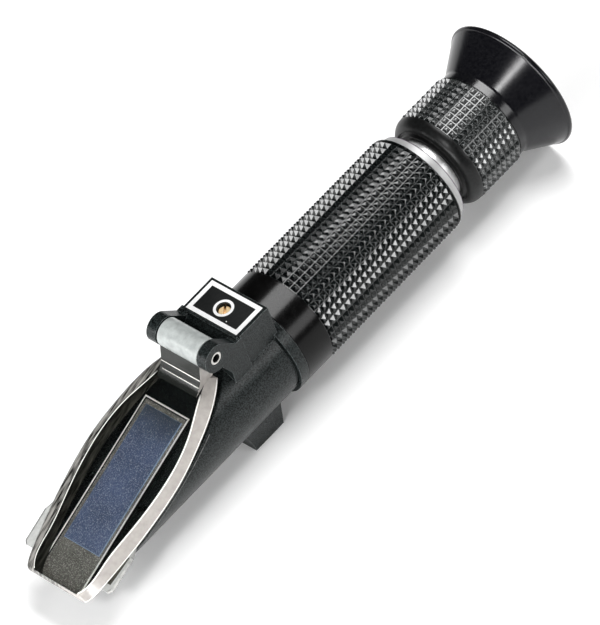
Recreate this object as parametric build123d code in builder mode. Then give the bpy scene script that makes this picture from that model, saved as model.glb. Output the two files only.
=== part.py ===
from build123d import *
import math
import os

os.makedirs("parts", exist_ok=True)

# Millimetres. +X runs along the optical axis to the eye, +Z is up on the daylight plate side.
# z = 0 is the surface the instrument lies on, touching the eyecup rim and the foot.
# Stations are distances along the axis from the joint between prism housing and body tube.

# driving dimensions
body_r = 13.5
eyecup_r = 18.05
eyecup_end = 88.9
plate_tip = -74.98
seat_angle = 20.48
running = 0.06
snug = 0.02

# frame
axis_z = eyecup_r
joint_x = -(eyecup_end + plate_tip) / 2
optical_axis = Axis((joint_x, 0, axis_z), (1, 0, 0))
side = Plane(origin=(joint_x, 0, axis_z), x_dir=(1, 0, 0), z_dir=(0, -1, 0))


def across(station):
    """Plane across the optical axis at a station, facing the eye; its x is +Y and its y is +Z."""
    return Plane(origin=(joint_x + station, 0, axis_z), x_dir=(0, 1, 0), z_dir=(1, 0, 0))


def level(height):
    """Horizontal plane at a height above the optical axis, measured from the joint."""
    return Plane(origin=(joint_x, 0, axis_z + height), x_dir=(1, 0, 0), z_dir=(0, 0, 1))


def turn(outline, mode=Mode.ADD):
    """Turn a closed outline of (station, radius) points about the optical axis."""
    with BuildSketch(side) as section:
        with BuildLine():
            Polyline(*outline, close=True)
        make_face()
    revolve(section.sketch, axis=optical_axis, mode=mode)


def slab(outline, half_width, plane=side, mode=Mode.ADD):
    """Extrude a closed outline equally to both sides of the plane it is drawn on."""
    with BuildSketch(plane) as section:
        with BuildLine():
            Polyline(*outline, close=True)
        make_face()
    extrude(section.sketch, amount=half_width, both=True, mode=mode)


def ring(start, end, outer_r, inner_r, mode=Mode.ADD):
    """Plain ring about the optical axis between two stations."""
    turn([(start, inner_r), (end, inner_r), (end, outer_r), (start, outer_r)], mode)


def cap_middle(vertex, edge, edge_r):
    """Middle point of a spherical lens face, from its vertex on the axis to its edge."""
    sag = edge - vertex
    radius = (edge_r ** 2 + sag ** 2) / (2 * sag)
    half_angle = math.asin(edge_r / abs(radius)) / 2
    return (vertex + radius * (1 - math.cos(half_angle)), abs(radius) * math.sin(half_angle))


def lens(front_vertex, front_edge, rear_edge, rear_vertex, edge_r):
    """Turned lens with spherical faces, from the stations of its vertices and of its edges."""
    with BuildSketch(side) as section:
        with BuildLine():
            Line((front_vertex, 0), (rear_vertex, 0))
            ThreePointArc((rear_vertex, 0), cap_middle(rear_vertex, rear_edge, edge_r), (rear_edge, edge_r))
            Line((rear_edge, edge_r), (front_edge, edge_r))
            ThreePointArc((front_edge, edge_r), cap_middle(front_vertex, front_edge, edge_r), (front_vertex, 0))
        make_face()
    revolve(section.sketch, axis=optical_axis)


def save(builder, name):
    builder.part.label = name
    export_step(builder.part, "parts/" + name + ".step")


# seat and plate datum: distances along the plate run forward and down from the datum point
datum_station = -30.66
datum_height = 9.0
slope_cos = math.cos(math.radians(seat_angle))
slope_sin = math.sin(math.radians(seat_angle))
datum = (joint_x + datum_station, 0, axis_z + datum_height)
plate_plane = Plane(origin=datum, x_dir=(-slope_cos, 0, -slope_sin), z_dir=(-slope_sin, 0, slope_cos))
plate_side = Plane(origin=datum, x_dir=(-slope_cos, 0, -slope_sin), z_dir=(0, 1, 0))
seat_drop = 3.0


def seat_height(station, drop=seat_drop):
    """Height above the axis of the plane lying a given drop under the plate datum."""
    along = (station - datum_station) * slope_sin / slope_cos
    return datum_height + along - drop / slope_cos


# prism housing
housing_r = 12.65
collar_length = 2.7
groove_width = 0.35
groove_depth = 0.35
nose_station = -73.4
bore_r = 10.0
bore_front = -17.6
spigot_r = 11.2
spigot_length = 4.0
wall_station = -17.0

block_top = 18.9
block_rear = -1.6
block_front = -11.3
block_half = 8.8
ear_half = 9.35
ear_inner = 6.5
ear_r = 3.6
hinge_station = -19.36
hinge_height = 20.02
pin_r = 1.7
barrel_half = 6.3
barrel_r = 3.5
ridge_front = -12.4
ridge_width = 0.6
ridge_height = 0.4
block_root = 5.0

foot_front = -16.9
foot_rear = -7.4
foot_half = 6.8
foot_root_half = 8.2
foot_root = -9.0
foot_root_front = -19.2
foot_sweep = [(-17.3, -15.2), (-18.3, -12.2)]
nose_plan = [(0.0, 6.0), (3.5, 9.2), (8.0, 11.4)]
beyond = 30

# calibration screw and its well
screw_station = -7.1
screw_head_r = 1.6
screw_shank_r = 1.25
head_seat = 16.0
head_top = 18.1
well_roof = 15.0
well_half_length = 4.0
well_half_width = 5.0
label_hole_r = 1.75

# stop of the daylight plate: a nib in each ear runs in an arc groove of the barrel end
stop_r = 2.6
nib_r = 0.45
nib_angle = 192.0
nib_reach = 0.8
arc_inner_r = 2.0
arc_outer_r = 3.2
arc_depth = 0.9
plate_travel = 120.0
arc_spare = 16.0
arc_end_gap = 12.0

# prism
prism_half = 5.7
prism_top = -1.65
prism_rear = 1.2
prism_front = 37.0
prism_outline = [(prism_rear, prism_top), (prism_front, prism_top), (prism_front, -5.4), (6.1, -15.4),
                 (2.3, -5.1), (prism_rear, -4.2)]
gasket_width = 0.8
gasket_rise = 1.0
gasket_depth = 0.8

# lever that carries the objective
pivot_station = -15.5
pivot_height = 7.3
pivot_r = 0.75
pivot_half = 8.3
lever_half = 2.5
lever_low = 6.0
lever_high = 8.0

ear_slope = 45.0
tangent = ear_r * math.cos(math.radians(ear_slope))
ear_ramp_top = (hinge_station + tangent, hinge_height + tangent)
ear_ramp_foot = (ear_ramp_top[0] + ear_ramp_top[1] - block_top, block_top)
arm_low = (-16.8, 12.2)
arm_root = (-16.9, block_root)
recess_wall = [(-14.9, 16.6), (-16.2, 13.4)]
recess_front = -28.0

with BuildPart() as prism_housing:
    # foot with drafted sides and a swept front
    with BuildSketch(side):
        with BuildLine():
            Polyline((foot_root_front, foot_root), (foot_rear + 0.5, foot_root), (foot_rear, -eyecup_r),
                     (foot_front, -eyecup_r))
            Spline((foot_front, -eyecup_r), *foot_sweep, (foot_root_front, foot_root))
        make_face()
    extrude(amount=foot_root_half, both=True)
    for sign in (-1, 1):
        with BuildSketch(across(foot_root_front - 1)):
            with BuildLine():
                Polyline((sign * foot_root_half, foot_root), (sign * foot_half, -eyecup_r),
                         (sign * foot_half, -eyecup_r - 1), (sign * beyond, -eyecup_r - 1),
                         (sign * beyond, foot_root), close=True)
            make_face()
        extrude(amount=foot_rear - foot_root_front + 2, mode=Mode.SUBTRACT)

    # turned outside with the collar and its groove
    groove_front = -collar_length - groove_width
    turn([(nose_station, 0), (0, 0), (0, body_r), (-collar_length, body_r),
          (-collar_length, housing_r - groove_depth), (groove_front, housing_r - groove_depth),
          (groove_front, housing_r), (nose_station + 1.2, housing_r), (nose_station, housing_r - 1.2)])

    # slanted seat
    seat_front = nose_station - 10
    slab([(seat_front, seat_height(seat_front)), (wall_station, seat_height(wall_station)),
          (wall_station, beyond), (seat_front, beyond)], beyond, mode=Mode.SUBTRACT)
    seat_edges = prism_housing.edges().filter_by(
        lambda e: abs(plate_plane.to_local_coords(e.center()).Z + seat_drop) < 0.01)
    side_edges = seat_edges.filter_by(lambda e: e.length > 30)
    chamfer(side_edges, 0.25)

    # nose corners in plan
    nose_length = nose_plan[-1][0]
    nose_right = [(nose_station + along, half) for along, half in nose_plan]
    nose_left = [(station, -half) for station, half in reversed(nose_right)]
    with BuildSketch(level(-beyond)):
        with Locations((nose_station, 0)):
            Rectangle(2 * nose_length, 2 * beyond)
        with BuildLine():
            Polyline(*nose_right, *nose_left, close=True)
        make_face(mode=Mode.SUBTRACT)
        with Locations((nose_station + nose_length, 0)):
            Rectangle(nose_length, 3 * beyond, mode=Mode.SUBTRACT)
    extrude(amount=beyond, mode=Mode.SUBTRACT)

    # calibration block and hinge arms
    slab([(block_rear, block_root), (block_rear, block_top), (block_front, block_top),
          (ridge_front, block_top), (ridge_front, block_root)], block_half)
    with BuildSketch(side):
        with BuildLine():
            Polyline(arm_low, arm_root, (block_front, block_root), (block_front, block_top),
                     ear_ramp_foot, ear_ramp_top)
            RadiusArc(ear_ramp_top, (hinge_station - ear_r, hinge_height), -ear_r)
            RadiusArc((hinge_station - ear_r, hinge_height), (hinge_station + 0.5, hinge_height - ear_r + 0.04),
                      -ear_r)
            Line((hinge_station + 0.5, hinge_height - ear_r + 0.04), arm_low)
        make_face()
    extrude(amount=ear_half, both=True)
    slab([(ridge_front, beyond), (ridge_front, block_top), *recess_wall,
          (wall_station, seat_height(wall_station)), (recess_front, seat_height(recess_front)),
          (recess_front, beyond)], ear_inner, mode=Mode.SUBTRACT)
    slab([(ridge_front, block_top - 0.2), (ridge_front, block_top + ridge_height),
          (ridge_front + ridge_width, block_top + ridge_height),
          (ridge_front + ridge_width, block_top - 0.2)], block_half)

    # hinge pin holes and stop nibs
    with BuildSketch(side):
        with Locations((hinge_station, hinge_height)):
            Circle(pin_r + snug)
    extrude(amount=ear_half + 1, both=True, mode=Mode.SUBTRACT)
    nib_x = hinge_station + stop_r * math.cos(math.radians(nib_angle))
    nib_z = hinge_height + stop_r * math.sin(math.radians(nib_angle))
    for sign in (-1, 1):
        with BuildSketch(side.offset(sign * (ear_inner + 0.5))):
            with Locations((nib_x, nib_z)):
                Circle(nib_r)
        extrude(amount=-sign * (nib_reach + 0.5))

    # bore, tube socket, light channel and prism pocket
    ring(bore_front, 1, bore_r, 0, mode=Mode.SUBTRACT)
    ring(-spigot_length, 1, spigot_r + 0.05, 0, mode=Mode.SUBTRACT)
    channel_end = -31.5
    roof = seat_drop + 1.5
    slab([(bore_front + 1, -8.5), (bore_front + 1, 8.2), (bore_front, seat_height(bore_front, roof)),
          (channel_end, seat_height(channel_end, roof)), (channel_end, -8.5)], prism_half + 0.1,
         mode=Mode.SUBTRACT)
    with BuildSketch(plate_side):
        with BuildLine():
            Polyline(*prism_outline, close=True)
        make_face()
        offset(amount=0.1, kind=Kind.INTERSECTION)
    extrude(amount=prism_half + 0.1, both=True, mode=Mode.SUBTRACT)
    with BuildSketch(plate_plane.offset(-seat_drop - gasket_depth)):
        with Locations(((prism_rear + prism_front) / 2, 0)):
            Rectangle(prism_front - prism_rear + 2 * gasket_width + 0.1,
                      2 * (prism_half + gasket_width) + 0.1)
    extrude(amount=gasket_depth + 1, mode=Mode.SUBTRACT)

    # screw well, screw hole and pivot pin hole
    with BuildSketch(level(block_root)):
        with Locations((screw_station, 0)):
            Rectangle(2 * well_half_length, 2 * well_half_width)
    extrude(amount=well_roof - block_root, mode=Mode.SUBTRACT)
    with BuildSketch(level(well_roof - 1)):
        with Locations((screw_station, 0)):
            Circle(screw_shank_r + running)
    extrude(amount=3, mode=Mode.SUBTRACT)
    with BuildSketch(level(head_seat)):
        with Locations((screw_station, 0)):
            Circle(screw_head_r + running)
    extrude(amount=5, mode=Mode.SUBTRACT)
    with BuildSketch(side):
        with Locations((pivot_station, pivot_height)):
            Circle(pivot_r + snug)
    extrude(amount=pivot_half + 0.1, both=True, mode=Mode.SUBTRACT)
save(prism_housing, "prism_housing")

# label on the block
label_length = 9.25
label_width = 16.05
label_station = -6.9
label_thickness = 0.2
with BuildPart() as calibration_label:
    with BuildSketch(level(block_top)):
        with Locations((label_station, 0)):
            Rectangle(label_length, label_width)
        with Locations((screw_station, 0)):
            Circle(label_hole_r, mode=Mode.SUBTRACT)
    extrude(amount=label_thickness)
save(calibration_label, "calibration_label")

with BuildPart() as hinge_pin:
    with BuildSketch(side):
        with Locations((hinge_station, hinge_height)):
            Circle(pin_r)
            Circle(1.0, mode=Mode.SUBTRACT)
    extrude(amount=ear_half - 0.15, both=True)
    chamfer(hinge_pin.edges().filter_by(GeomType.CIRCLE), 0.12)
save(hinge_pin, "hinge_pin")

with BuildPart() as main_prism:
    slab(prism_outline, prism_half, plate_side)
    chamfer(main_prism.edges().filter_by(
        lambda e: abs(plate_plane.to_local_coords(e.center()).Z - prism_top) < 0.01), 0.2)
save(main_prism, "main_prism")

with BuildPart() as prism_gasket:
    with BuildSketch(plate_plane.offset(-seat_drop - gasket_depth)):
        with Locations(((prism_rear + prism_front) / 2, 0)):
            Rectangle(prism_front - prism_rear + 2 * gasket_width, 2 * (prism_half + gasket_width))
            Rectangle(prism_front - prism_rear + snug, 2 * prism_half + snug, mode=Mode.SUBTRACT)
    extrude(amount=gasket_depth + gasket_rise)
save(prism_gasket, "prism_gasket")

# daylight plate
plate_top = 0.6
rim_upper = -0.5
rim_lower = -0.9
plate_under = -1.2
pad_under = -1.55
pad_length = 47.0
pad_half = 6.53
plate_end = 47.5
rear_end = -11.3
top_edge = [(rear_end + 1.2, 5.9), (-2.0, 8.2), (3.0, 10.0), (10.6, 11.4), (17.0, 11.5), (30.0, 10.0),
            (37.0, 9.0), (plate_end - 1.6, 7.45), (plate_end - 0.6, 6.6)]
rim_edge = [(rear_end, 7.4), (-3.0, 11.2), (4.0, 12.8), (13.0, 14.0), (23.0, 13.8), (33.7, 12.6),
            (42.7, 11.0), (plate_end - 1.3, 9.95), (plate_end - 0.3, 9.2), (plate_end, 8.4)]


def leaf(height, edge, inset=0.0):
    """Leaf outline at a height over the plate datum, from its half-widths along the centre line."""
    right = [(along, half - inset) for along, half in edge]
    left = [(along, -half + inset) for along, half in edge]
    with BuildSketch(plate_plane.offset(height)) as outline:
        with BuildLine():
            Spline(*right)
            Line(right[-1], left[-1])
            Spline(*left)
            Line(left[0], right[0])
        make_face()
    return outline.sketch


tab_start = 31.0
tab_end = 42.9
tab_half = 13.8
tab_root = 8.0
web_half = 6.2
web_under = [(-28.6, 10.2), (-28.6, 9.3), (-21.0, 12.0), (-19.95, 12.9), (-18.2, 17.2)]
web_front = [(-22.5, 18.4), (-23.3, 15.6), (-23.7, 14.4)]
web_fillet_middle = (-25.5, 11.9)
with BuildPart() as daylight_plate:
    with BuildSketch(side):
        with Locations((hinge_station, hinge_height)):
            Circle(barrel_r)
    extrude(amount=barrel_half, both=True)
    fillet(daylight_plate.edges().filter_by(GeomType.CIRCLE), 0.3)
    loft([leaf(rim_upper, rim_edge), leaf(plate_top, top_edge)], ruled=True)
    loft([leaf(rim_lower, rim_edge), leaf(rim_upper, rim_edge)], ruled=True)
    loft([leaf(plate_under, rim_edge, inset=0.5), leaf(rim_lower, rim_edge)], ruled=True)

    # contact pad under the plate
    with BuildSketch(plate_plane.offset(pad_under)):
        with Locations((pad_length / 2, 0)):
            Rectangle(pad_length, 2 * pad_half)
    extrude(amount=plate_under - pad_under + 0.2)

    # thumb tabs
    for sign in (-1, 1):
        with BuildSketch(plate_plane.offset(plate_under)):
            with BuildLine():
                Polyline((tab_start, sign * tab_root), (tab_start, sign * (tab_half - 0.9)),
                         (tab_start + 2.6, sign * tab_half), (tab_end - 0.8, sign * tab_half),
                         (tab_end, sign * (tab_half - 0.8)), (tab_end, sign * tab_root), close=True)
            make_face()
        extrude(amount=rim_upper - plate_under)

    # web up to the barrel
    with BuildSketch(side):
        with BuildLine():
            Polyline(*web_under, (hinge_station, hinge_height), *web_front)
            ThreePointArc(web_front[-1], web_fillet_middle, web_under[0])
        make_face()
    extrude(amount=web_half, both=True)
    with BuildSketch(side):
        with Locations((hinge_station, hinge_height)):
            Circle(pin_r + running)
    extrude(amount=barrel_half + 1, both=True, mode=Mode.SUBTRACT)

    # arc grooves for the stop nibs
    arc_from = nib_angle - arc_end_gap
    arc_to = nib_angle + plate_travel + arc_end_gap
    for sign in (-1, 1):
        with BuildSketch(side.offset(sign * barrel_half)):
            with BuildLine():
                CenterArc((hinge_station, hinge_height), arc_outer_r, arc_from - arc_spare + arc_end_gap,
                          arc_to - arc_from + arc_spare - arc_end_gap)
                CenterArc((hinge_station, hinge_height), arc_inner_r, arc_from - arc_spare + arc_end_gap,
                          arc_to - arc_from + arc_spare - arc_end_gap)
                start_angle = math.radians(arc_from - arc_spare + arc_end_gap)
                stop_angle = math.radians(arc_to)
                for angle in (start_angle, stop_angle):
                    Line((hinge_station + arc_inner_r * math.cos(angle),
                          hinge_height + arc_inner_r * math.sin(angle)),
                         (hinge_station + arc_outer_r * math.cos(angle),
                          hinge_height + arc_outer_r * math.sin(angle)))
            make_face()
        extrude(amount=-sign * arc_depth, mode=Mode.SUBTRACT)
save(daylight_plate, "daylight_plate")

# body tube, grip and end ring
band_end = 8.25
grip_end = 53.85
grip_r = 13.7
tube_r = 12.2
tube_bore = 10.0
ring_end = 56.05
ring_r = 12.3
seal_station = -2.0
seal_ring_r = 10.88
seal_r = 0.34
with BuildPart() as body_tube:
    turn([(-spigot_length + 0.1, tube_bore), (grip_end, tube_bore), (grip_end, tube_r), (band_end, tube_r),
          (band_end, body_r), (snug, body_r), (snug, spigot_r), (-spigot_length + 0.1, spigot_r)])
    ring(seal_station - 0.5, seal_station + 0.5, spigot_r + 1, seal_ring_r - seal_r - 0.02,
         mode=Mode.SUBTRACT)
    band_rims = body_tube.edges().filter_by(GeomType.CIRCLE).filter_by(lambda e: abs(e.radius - body_r) < 0.01)
    chamfer(band_rims, 0.15)
save(body_tube, "body_tube")

with BuildPart() as tube_seal:
    with BuildSketch(side):
        with Locations((seal_station, seal_ring_r)):
            Circle(seal_r)
    revolve(axis=optical_axis)
save(tube_seal, "tube_seal")

with BuildPart() as grip_sleeve:
    ring(band_end + snug, grip_end, grip_r, tube_r + snug)
    grip_rims = grip_sleeve.edges().filter_by(GeomType.CIRCLE).filter_by(
        lambda e: abs(e.radius - grip_r) < 0.01)
    fillet(grip_rims, 0.6)
save(grip_sleeve, "grip_sleeve")

eyepiece_r = 8.5
eyepiece_bore = 7.35
eyepiece_front = 44.0
eyepiece_rear = 70.0
with BuildPart() as end_ring:
    turn([(47.0, eyepiece_r + snug), (ring_end, eyepiece_r + snug), (ring_end, ring_r), (grip_end + snug, ring_r),
          (grip_end + snug, tube_bore - snug), (47.0, tube_bore - snug)])
    ring_rims = end_ring.edges().filter_by(GeomType.CIRCLE).filter_by(lambda e: abs(e.radius - ring_r) < 0.01)
    chamfer(ring_rims, 0.25)
save(end_ring, "end_ring")

seal_groove = 66.0
seal_middle_r = 8.19
seal_section_r = 0.32
key_station = 62.0
key_r = 0.8
with BuildPart() as eyepiece_tube:
    ring(eyepiece_front, eyepiece_rear, eyepiece_r, eyepiece_bore)
    ring(seal_groove - 0.45, seal_groove + 0.45, eyepiece_r + 1, 7.85, mode=Mode.SUBTRACT)
    with BuildSketch(level(0)):
        with Locations((key_station, 0)):
            Circle(key_r + snug)
    extrude(amount=-eyepiece_r - 1, mode=Mode.SUBTRACT)
save(eyepiece_tube, "eyepiece_tube")

with BuildPart() as key_pin:
    with BuildSketch(level(-8.4)):
        with Locations((key_station, 0)):
            Circle(key_r)
    extrude(amount=1.8)
save(key_pin, "key_pin")

with BuildPart() as focus_seal:
    with BuildSketch(side):
        with Locations((seal_groove, seal_middle_r)):
            Circle(seal_section_r)
    revolve(axis=optical_axis)
save(focus_seal, "focus_seal")

# reticle group in the front of the eyepiece tube
holder_front = 45.0
holder_rear = 50.0
holder_lip_r = 5.4
holder_bore = 6.6
reticle_seat = 46.0
reticle_r = 6.55
scale_face = 47.2
scale_line = 0.12
scale_height = 8.0
scale_pitch = 0.8
scale_mark = 1.6
with BuildPart() as reticle_holder:
    turn([(holder_front, holder_lip_r), (reticle_seat, holder_lip_r), (reticle_seat, holder_bore),
          (holder_rear, holder_bore), (holder_rear, eyepiece_bore - snug), (holder_front, eyepiece_bore - snug)])
save(reticle_holder, "reticle_holder")

with BuildPart() as reticle:
    ring(reticle_seat + snug, scale_face, reticle_r, 0)
    with BuildSketch(across(scale_face)):
        with Locations((0, -0.5)):
            with GridLocations(0, scale_pitch, 1, 9):
                Rectangle(scale_mark, scale_line)
        Rectangle(scale_line, scale_height)
    extrude(amount=0.03)
save(reticle, "reticle")

ring_front = scale_face + 0.1
ring_rear = 48.9
ring_slot = 0.5
with BuildPart() as reticle_ring:
    ring(ring_front, ring_rear, holder_bore - snug, 5.6)
    with BuildSketch(across(ring_rear)):
        Rectangle(2 * ring_slot, 14.0)
    extrude(amount=-ring_slot, mode=Mode.SUBTRACT)
save(reticle_ring, "reticle_ring")

baffle_front = 24.0
baffle_rear = 28.0
baffle_disc = 0.8
baffle_opening_r = 5.6
baffle_bore = 9.0
with BuildPart() as light_baffle:
    turn([(baffle_front, baffle_opening_r), (baffle_front + baffle_disc, baffle_opening_r),
          (baffle_front + baffle_disc, baffle_bore), (baffle_rear, baffle_bore),
          (baffle_rear, tube_bore - snug), (baffle_front, tube_bore - snug)])
save(light_baffle, "light_baffle")

# lever, strip and objective
nut_r = 3.0
nut_top = 9.0
strip_screw_stations = (-11.8, 2.2)
strip_screw_r = 0.6
with BuildPart() as objective_lever:
    slab([(pivot_station - 1.0, lever_low), (-3.6, lever_low), (-3.6, lever_high),
          (pivot_station - 1.0, lever_high)], lever_half)
    with BuildSketch(side):
        with Locations((pivot_station, pivot_height)):
            Circle(1.7)
    extrude(amount=lever_half, both=True)
    with BuildSketch(level(lever_low)):
        with Locations((screw_station, 0)):
            Circle(nut_r)
    extrude(amount=nut_top - lever_low)
    with BuildSketch(level(lever_low - 1)):
        with Locations((screw_station, 0)):
            Circle(screw_shank_r + 0.1)
    extrude(amount=6, mode=Mode.SUBTRACT)
    with BuildSketch(level(lever_low)):
        with Locations((strip_screw_stations[0], 0)):
            Circle(strip_screw_r + snug)
    extrude(amount=1.6, mode=Mode.SUBTRACT)
    with BuildSketch(side):
        with Locations((pivot_station, pivot_height)):
            Circle(pivot_r + running)
    extrude(amount=lever_half + 1, both=True, mode=Mode.SUBTRACT)
save(objective_lever, "objective_lever")

with BuildPart() as lever_pivot_pin:
    with BuildSketch(side):
        with Locations((pivot_station, pivot_height)):
            Circle(pivot_r)
    extrude(amount=pivot_half, both=True)
save(lever_pivot_pin, "lever_pivot_pin")

strip_thickness = 0.6
strip_low = lever_low - strip_thickness
with BuildPart() as bimetal_strip:
    with BuildSketch(level(strip_low)):
        with Locations((-4.6, 0)):
            Rectangle(18.0, 2 * lever_half - 0.6)
        with Locations((screw_station, 0)):
            Circle(screw_shank_r + 0.3, mode=Mode.SUBTRACT)
        with Locations(*[(station, 0) for station in strip_screw_stations]):
            Circle(strip_screw_r + snug, mode=Mode.SUBTRACT)
    extrude(amount=strip_thickness)
save(bimetal_strip, "bimetal_strip")

cell_front = 4.8
cell_rear = 10.4
cell_r = 7.8
cell_bore = 6.6
cell_lip = 1.0
cell_lip_r = 5.6
lug_front = 0.4
lug_low = 3.4
with BuildPart() as objective_cell:
    turn([(cell_front, cell_lip_r), (cell_front + cell_lip, cell_lip_r), (cell_front + cell_lip, cell_bore),
          (cell_rear, cell_bore), (cell_rear, cell_r), (cell_front, cell_r)])
    slab([(lug_front, lug_low), (cell_front + cell_lip / 2, lug_low), (cell_front + cell_lip / 2, strip_low),
          (lug_front, strip_low)], 2.0)
    ring(cell_front + cell_lip, cell_rear, cell_bore, 0, mode=Mode.SUBTRACT)
    with BuildSketch(level(strip_low)):
        with Locations((strip_screw_stations[1], 0)):
            Circle(strip_screw_r + snug)
    extrude(amount=-1.6, mode=Mode.SUBTRACT)
save(objective_cell, "objective_cell")

with BuildPart() as strip_screws:
    for station, face, reach in ((strip_screw_stations[0], strip_low, 1), (strip_screw_stations[1], lever_low, -1)):
        with BuildSketch(level(face)):
            with Locations((station, 0)):
                Circle(1.1)
        extrude(amount=-0.7 * reach)
        with BuildSketch(level(face)):
            with Locations((station, 0)):
                Circle(strip_screw_r)
        extrude(amount=(strip_thickness + 1.4) * reach)
    for station, face, reach in ((strip_screw_stations[0], strip_low, 1), (strip_screw_stations[1], lever_low, -1)):
        with BuildSketch(level(face - 0.7 * reach)):
            with Locations((station, 0)):
                Rectangle(0.3, 3)
        extrude(amount=0.3 * reach, mode=Mode.SUBTRACT)
save(strip_screws, "strip_screws")

lens_play = 0.05
with BuildPart() as objective_lens:
    lens(cell_front + 1.7, cell_front + 2.5, cell_front + 3.1, cell_front + 4.4, cell_bore - lens_play)
save(objective_lens, "objective_lens")

# calibration screw held between the block and a clip
clip_top = well_roof - 0.05
clip_thickness = 0.5
clip_r = 2.1
screw_neck_r = 0.95
screw_tip = 6.7
with BuildPart() as calibration_screw:
    with BuildSketch(level(screw_tip)):
        with Locations((screw_station, 0)):
            Circle(screw_shank_r)
    extrude(amount=head_seat - screw_tip + 0.2)
    with BuildSketch(level(head_seat + snug)):
        with Locations((screw_station, 0)):
            Circle(screw_head_r)
    extrude(amount=head_top - head_seat)
    chamfer(calibration_screw.faces().sort_by(Axis.Z)[-1].edges(), 0.2)
    with BuildSketch(level(clip_top - clip_thickness - snug)):
        with Locations((screw_station, 0)):
            Circle(screw_shank_r + 1)
            Circle(screw_neck_r, mode=Mode.SUBTRACT)
    extrude(amount=clip_thickness + 2 * snug, mode=Mode.SUBTRACT)
    with BuildSketch(level(head_top + 0.1)):
        with Locations((screw_station, 0)):
            Rectangle(5, 0.55, rotation=38)
    extrude(amount=-0.9, mode=Mode.SUBTRACT)
save(calibration_screw, "calibration_screw")

with BuildPart() as screw_clip:
    with BuildSketch(level(clip_top - clip_thickness)):
        with Locations((screw_station, 0)):
            Circle(clip_r)
            Circle(screw_neck_r + snug, mode=Mode.SUBTRACT)
        with Locations((screw_station + 1.5, 0)):
            Rectangle(2, 1.2, mode=Mode.SUBTRACT)
    extrude(amount=clip_thickness)
save(screw_clip, "screw_clip")

spring_r = 2.65
wire_r = 0.22
spring_play = 0.05
spring_height = well_roof - nut_top - 2 * (wire_r + spring_play)
spring_turns = 5
with BuildPart() as return_spring:
    spring_base = (joint_x + screw_station, 0, axis_z + nut_top + wire_r + spring_play)
    with BuildLine():
        coil = Helix(pitch=spring_height / spring_turns, height=spring_height, radius=spring_r, center=spring_base)
    with BuildSketch(Plane(origin=coil @ 0, z_dir=coil % 0)):
        Circle(wire_r)
    sweep(is_frenet=True)
save(return_spring, "return_spring")

# ocular that slides in the eyepiece tube without turning
ocular_r = 7.28
ocular_bore = 6.2
ocular_front = 56.0
ocular_rear = 79.2
ocular_lip = 1.0
ocular_lip_r = 5.4
collar_front = 72.9
collar_rear = 73.9
collar_r = 8.4
lip_front = 74.0
lip_rear = 76.0
snap_groove_r = 6.85
key_slot_middle = 61.5
key_slot_length = 8.2
with BuildPart() as ocular_barrel:
    turn([(ocular_front, ocular_lip_r), (ocular_front + ocular_lip, ocular_lip_r),
          (ocular_front + ocular_lip, ocular_bore), (ocular_rear, ocular_bore), (ocular_rear, ocular_r),
          (collar_rear, ocular_r), (collar_rear, collar_r), (collar_front, collar_r),
          (collar_front, ocular_r), (ocular_front, ocular_r)])
    ring(lip_rear + 0.15, lip_rear + 0.85, ocular_r + 1, snap_groove_r, mode=Mode.SUBTRACT)
    with BuildSketch(level(0)):
        with Locations((key_slot_middle, 0)):
            SlotOverall(key_slot_length, 2 * key_r + 0.12)
    extrude(amount=-ocular_r - 1, mode=Mode.SUBTRACT)
save(ocular_barrel, "ocular_barrel")

lens_edge_r = ocular_bore - 0.04
field_lens_front = 67.0
field_lens_rear = 69.4
spacer_front = 69.6
spacer_rear = 73.0
spacer_recess = 0.5
eye_lens_front = 73.2
eye_lens_rear = 77.3
retainer_front = 77.2
retainer_rear = 78.9
retainer_land = 0.3
with BuildPart() as field_lens:
    lens(field_lens_front, field_lens_front + 0.3, field_lens_rear - 1.2, field_lens_rear, lens_edge_r)
save(field_lens, "field_lens")

with BuildPart() as lens_spacer:
    ring(spacer_front, spacer_rear, lens_edge_r, 5.5)
    ring(spacer_front - 0.1, spacer_front + spacer_recess, 5.9, 0, mode=Mode.SUBTRACT)
save(lens_spacer, "lens_spacer")

with BuildPart() as eye_lens:
    lens(eye_lens_front, eye_lens_front + 1.4, eye_lens_rear - 1.3, eye_lens_rear, lens_edge_r)
save(eye_lens, "eye_lens")

with BuildPart() as lens_retaining_ring:
    turn([(retainer_front, 5.6), (retainer_rear - retainer_land, 4.9), (retainer_rear, 4.9),
          (retainer_rear, lens_edge_r), (retainer_front, lens_edge_r)])
    with BuildSketch(across(retainer_rear)):
        Rectangle(13.0, 0.9)
    extrude(amount=-0.6, mode=Mode.SUBTRACT)
save(lens_retaining_ring, "lens_retaining_ring")

with BuildPart() as snap_ring:
    with BuildSketch(across(lip_rear + 0.2)):
        Circle(8.2)
        Circle(snap_groove_r + snug, mode=Mode.SUBTRACT)
        with Locations((0, 7.5)):
            Rectangle(2.4, 3, mode=Mode.SUBTRACT)
    extrude(amount=0.6)
save(snap_ring, "snap_ring")

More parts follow.
